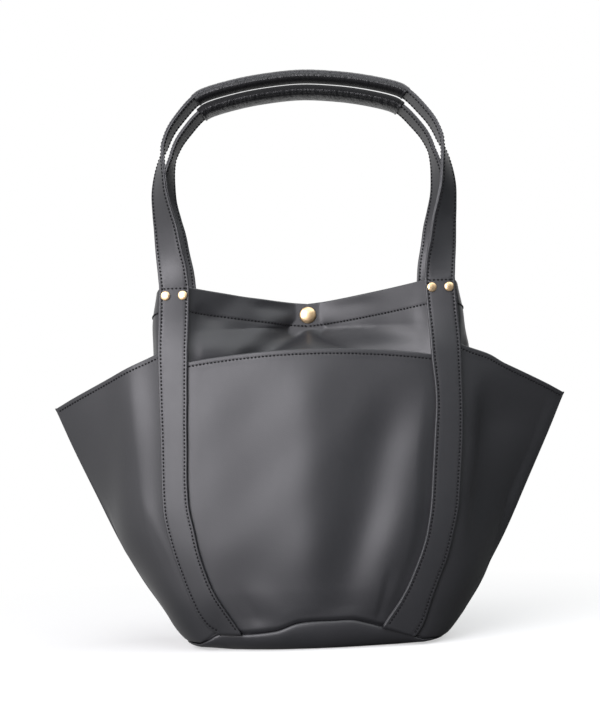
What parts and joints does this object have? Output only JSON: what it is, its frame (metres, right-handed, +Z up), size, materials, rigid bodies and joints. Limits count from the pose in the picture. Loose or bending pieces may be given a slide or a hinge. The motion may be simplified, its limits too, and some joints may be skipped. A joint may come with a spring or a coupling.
{
  "type": "tote bag",
  "caption": "Soft tote bag with a snap at its mouth, an outer skirt of open pockets with pointed sides, riveted straps and wrapped folding handles.",
  "frame": {"origin": "on the ground under the middle of the base", "axes": "+Z up, -Y to the front, +X to the bag's right as seen from the front"},
  "size_m": [0.455, 0.1518, 0.506],
  "materials": {
    "charcoal_pu": "matte coated leather-look fabric",
    "grip_leather": "soft black leather",
    "lining": "woven lining",
    "fibre_board": "pressed board",
    "foam": "soft filler",
    "brass": "antique"
  },
  "bodies": {
    "bag": {"base_panel": "charcoal_pu", "base_board": "fibre_board", "lining_base_panel": "lining", "front_pocket_panel": "charcoal_pu", "main_front_panel": "charcoal_pu", "lining_front": "lining", "wing_front_left": "charcoal_pu", "strap_front_left": "charcoal_pu", "rivet_front_left_inner": "brass", "rivet_front_left_outer": "brass", "wing_front_right": "charcoal_pu", "strap_front_right": "charcoal_pu", "rivet_front_right_inner": "brass", "rivet_front_right_outer": "brass", "back_pocket_panel": "charcoal_pu", "main_back_panel": "charcoal_pu", "lining_back": "lining", "wing_back_left": "charcoal_pu", "strap_back_left": "charcoal_pu", "rivet_back_left_inner": "brass", "rivet_back_left_outer": "brass", "wing_back_right": "charcoal_pu", "strap_back_right": "charcoal_pu", "rivet_back_right_inner": "brass", "rivet_back_right_outer": "brass", "main_side_left": "charcoal_pu", "main_side_right": "charcoal_pu"},
    "front_lip": {"front_hem": "charcoal_pu", "snap_front_cap": "brass", "snap_socket": "brass"},
    "back_lip": {"back_hem": "charcoal_pu", "snap_stud": "brass", "snap_back_cap": "brass"},
    "front_handle": {"front_handle_strap": "charcoal_pu", "front_handle_pad": "foam", "front_handle_grip": "grip_leather"},
    "back_handle": {"back_handle_strap": "charcoal_pu", "back_handle_pad": "foam", "back_handle_grip": "grip_leather"}
  },
  "joints": [
    {"name": "front_handle_fold", "type": "hinge", "parent": "bag", "child": "front_handle", "pos_m": [0, -0.0598, 0.3205], "axis": [1, 0, 0], "range_deg": [-11, 150]},
    {"name": "back_handle_fold", "type": "hinge", "parent": "bag", "child": "back_handle", "pos_m": [0, 0.0598, 0.3205], "axis": [-1, 0, 0], "range_deg": [-11, 150]},
    {"name": "front_lip_open", "type": "slide", "parent": "bag", "child": "front_lip", "axis": [0, -1, 0], "range_m": [0, 0.05]},
    {"name": "back_lip_open", "type": "slide", "parent": "bag", "child": "back_lip", "axis": [0, 1, 0], "range_m": [0, 0.05]}
  ]
}
